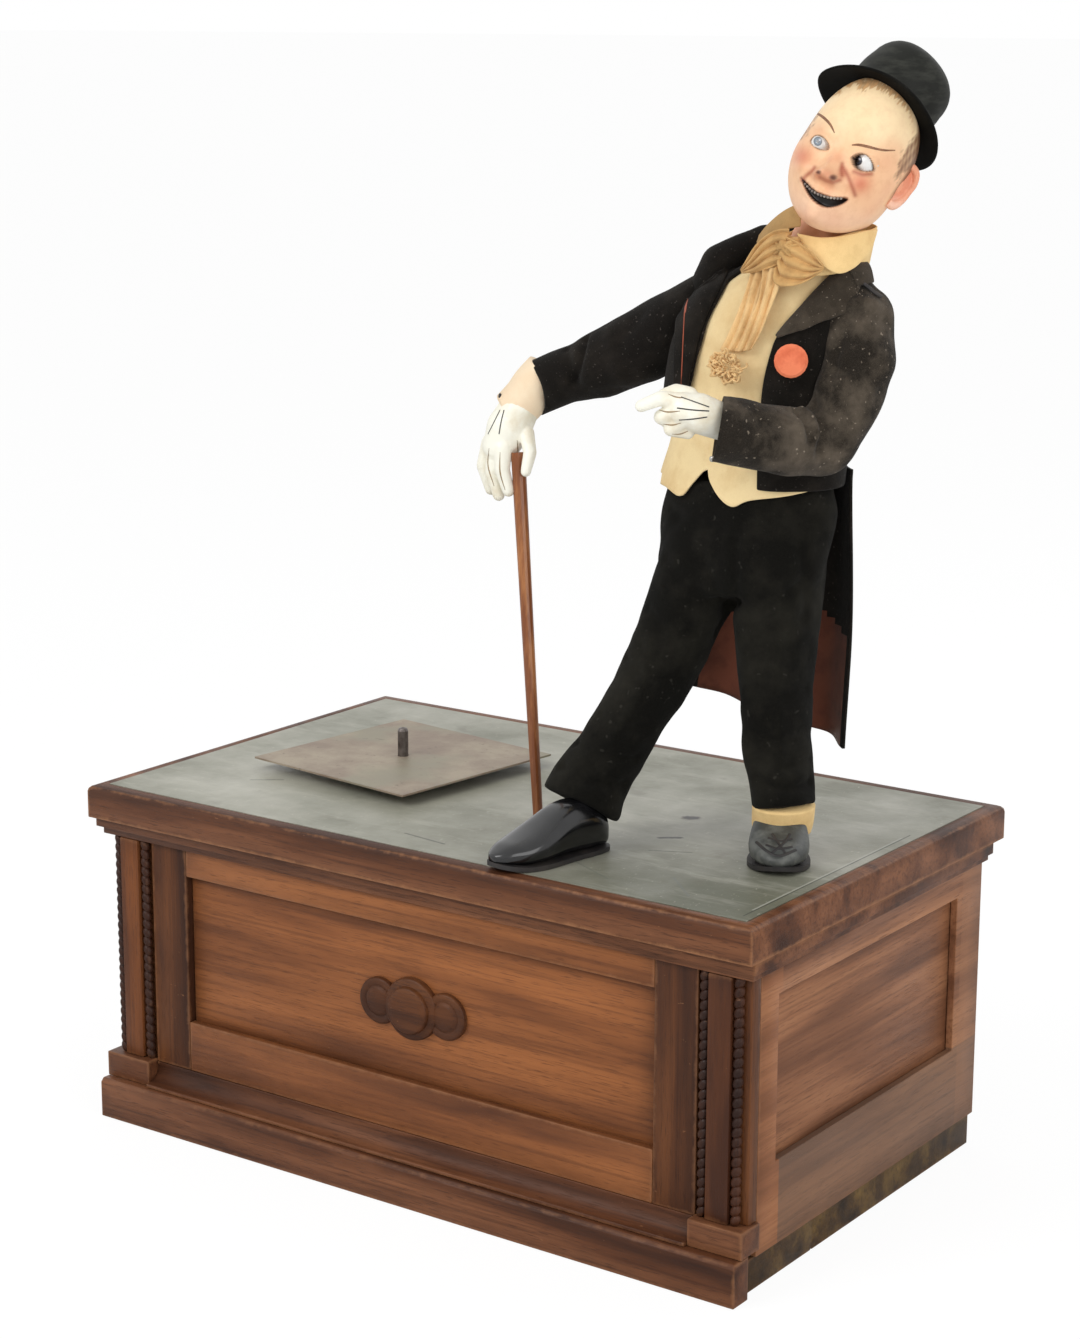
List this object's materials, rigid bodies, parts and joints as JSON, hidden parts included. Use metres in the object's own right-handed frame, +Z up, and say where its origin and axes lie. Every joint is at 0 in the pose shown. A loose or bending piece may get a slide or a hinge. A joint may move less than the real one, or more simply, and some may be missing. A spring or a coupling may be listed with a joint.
{
  "type": "shop display automaton",
  "caption": "Clockwork shop display automaton: a top-hatted figure in a tailcoat leans on a cane on a panelled cabinet beside a turntable for wares; head, eyes and arms move.",
  "frame": {"origin": "middle of the cabinet's footprint, on the floor", "axes": "+Z up; +X along the front towards the figure, which stands right of the middle; the front faces -Y"},
  "size_m": [0.6537, 0.38, 0.8365],
  "materials": {
    "panel_wood": "satin, worn",
    "dark_wood": "satin, worn edges",
    "bare_wood": "unfinished",
    "leathercloth": "grained, rubbed",
    "brass": "satin",
    "steel": "satin",
    "rusty_steel": "worn, rusty",
    "black_cloth": "matt",
    "coat_cloth": "matt",
    "cream_cloth": "matt",
    "tan_cloth": "matt",
    "glove_paint": "painted, satin",
    "face_paint": "painted, satin",
    "glass_white": "gloss",
    "hat_felt": "worn felt",
    "patent_leather": "gloss",
    "dull_leather": "dull",
    "cane_wood": "polished",
    "salmon_enamel": "satin"
  },
  "bodies": {
    "cabinet": {"top_board": "dark_wood", "top_leathercloth": "leathercloth", "cornice": "dark_wood", "front_stile_left": "panel_wood", "front_stile_right": "panel_wood", "front_rail_top": "panel_wood", "front_rail_bottom": "panel_wood", "front_panel": "panel_wood", "rosette": "dark_wood", "pilaster_left": "panel_wood", "pilaster_right": "panel_wood", "pilaster_block_left": "dark_wood", "pilaster_block_right": "dark_wood", "plinth_board": "dark_wood", "plinth_moulding": "dark_wood", "side_frame_left": "panel_wood", "side_frame_right": "panel_wood", "side_panel_left": "panel_wood", "side_panel_right": "panel_wood", "bottom_board": "bare_wood", "rear_frame": "bare_wood", "movement_plate_left": "brass", "movement_plate_right": "brass", "spindle_bridge": "brass", "follower_bracket": "brass", "shoe_left": "dull_leather", "shoe_right": "patent_leather", "sock_left": "cream_cloth", "trouser_leg_left": "black_cloth", "trouser_leg_right": "black_cloth", "trouser_seat": "black_cloth", "waistcoat": "cream_cloth", "coat_body": "coat_cloth", "coat_tails": "coat_cloth", "shirt_collar": "cream_cloth", "cravat": "tan_cloth", "buttonhole_disc": "salmon_enamel", "upper_sleeve_left": "coat_cloth"},
    "rear_door_body": {"rear_door": "bare_wood", "rear_door_knob": "brass"},
    "crank": {"winding_crank": "steel"},
    "knob": {"crank_knob": "dark_wood"},
    "barrel": {"spring_barrel": "brass"},
    "cams": {"camshaft": "steel"},
    "fly": {"governor_fly": "steel"},
    "turntable": {"turntable_spindle": "steel", "display_plate": "rusty_steel"},
    "head_follower": {"head_lever": "steel"},
    "arm_follower": {"arm_lever": "steel"},
    "head_push_rod": {"head_rod": "steel"},
    "arm_push_rod": {"arm_rod": "steel"},
    "left_forearm": {"forearm_sleeve_left": "coat_cloth", "hand_left": "glove_paint"},
    "right_arm": {"sleeve_right": "coat_cloth", "hand_right": "glove_paint", "cane": "cane_wood"},
    "head_and_hat": {"head": "face_paint", "hat": "hat_felt"},
    "left_eye": {"eye_left": "glass_white"},
    "right_eye": {"eye_right": "glass_white"}
  },
  "joints": [
    {"name": "rear_door_swing", "type": "hinge", "parent": "cabinet", "child": "rear_door_body", "pos_m": [0.1997, 0.1742, 0.1375], "axis": [0, 0, -1], "range_deg": [0, 100]},
    {"name": "crank_turn", "type": "hinge", "parent": "cabinet", "child": "crank", "pos_m": [-0.3035, 0.05657, 0.105], "axis": [1, 0, 0], "continuous": true},
    {"name": "knob_spin", "type": "hinge", "parent": "crank", "child": "knob", "pos_m": [-0.3095, 0.05657, 0.055], "axis": [1, 0, 0], "continuous": true},
    {"name": "barrel_turn", "type": "hinge", "parent": "cabinet", "child": "barrel", "pos_m": [-0.185, 0.05657, 0.105], "axis": [1, 0, 0], "continuous": true},
    {"name": "camshaft_turn", "type": "hinge", "parent": "cabinet", "child": "cams", "pos_m": [-0.185, 0, 0.125], "axis": [1, 0, 0], "continuous": true},
    {"name": "fly_spin", "type": "hinge", "parent": "cabinet", "child": "fly", "pos_m": [-0.0915, -0.03, 0.1025], "axis": [1, 0, 0], "continuous": true},
    {"name": "turntable_turn", "type": "hinge", "parent": "cabinet", "child": "turntable", "pos_m": [-0.136, 0, 0.278], "axis": [0, 0, 1], "continuous": true},
    {"name": "head_lever_lift", "type": "hinge", "parent": "cabinet", "child": "head_follower", "pos_m": [0.24074, 0.1, 0.1578], "axis": [-1, 0, 0], "range_deg": [0, 3.5]},
    {"name": "arm_lever_lift", "type": "hinge", "parent": "cabinet", "child": "arm_follower", "pos_m": [0.25174, 0.1, 0.1578], "axis": [-1, 0, 0], "range_deg": [0, 3.5]},
    {"name": "head_rod_push", "type": "slide", "parent": "cabinet", "child": "head_push_rod", "axis": [-0.1146, 0.1146, 0.9868], "range_m": [0, 0.009]},
    {"name": "arm_rod_push", "type": "slide", "parent": "cabinet", "child": "arm_push_rod", "axis": [-0.1146, 0.1146, 0.9868], "range_m": [0, 0.009]},
    {"name": "left_forearm_lift", "type": "hinge", "parent": "cabinet", "child": "left_forearm", "pos_m": [0.264, -0.016, 0.577], "axis": [-0.7288, 0.6848, 0], "range_deg": [0, 12]},
    {"name": "right_arm_lift", "type": "hinge", "parent": "cabinet", "child": "right_arm", "pos_m": [0.142, 0.0165, 0.681], "axis": [0, 1, 0], "range_deg": [0, 6]},
    {"name": "head_turn", "type": "hinge", "parent": "cabinet", "child": "head_and_hat", "pos_m": [0.224, 0.0165, 0.699], "axis": [-0.4325, 0.0598, -0.8997], "range_deg": [0, 20]},
    {"name": "left_eye_turn", "type": "hinge", "parent": "head_and_hat", "child": "left_eye", "pos_m": [0.28016, -0.01421, 0.76743], "axis": [0.2759, 0.2483, 0.9286], "range_deg": [-15, 15]},
    {"name": "right_eye_turn", "type": "hinge", "parent": "head_and_hat", "child": "right_eye", "pos_m": [0.24738, -0.01934, 0.77855], "axis": [0.2759, 0.2483, 0.9286], "range_deg": [-15, 15]}
  ],
  "couplings": [
    {"joint": "camshaft_turn", "follows": "barrel_turn", "ratio": -4},
    {"joint": "fly_spin", "follows": "barrel_turn", "ratio": 16},
    {"joint": "turntable_turn", "follows": "barrel_turn", "ratio": 1.3333},
    {"joint": "head_lever_lift", "follows": "head_turn", "ratio": 0.175},
    {"joint": "head_rod_push", "follows": "head_turn", "m_per_rad": 0.02485},
    {"joint": "arm_lever_lift", "follows": "right_arm_lift", "ratio": 0.583},
    {"joint": "arm_rod_push", "follows": "right_arm_lift", "m_per_rad": 0.0828},
    {"joint": "left_forearm_lift", "follows": "right_arm_lift", "ratio": 1.99},
    {"joint": "right_eye_turn", "follows": "left_eye_turn", "ratio": 1}
  ]
}
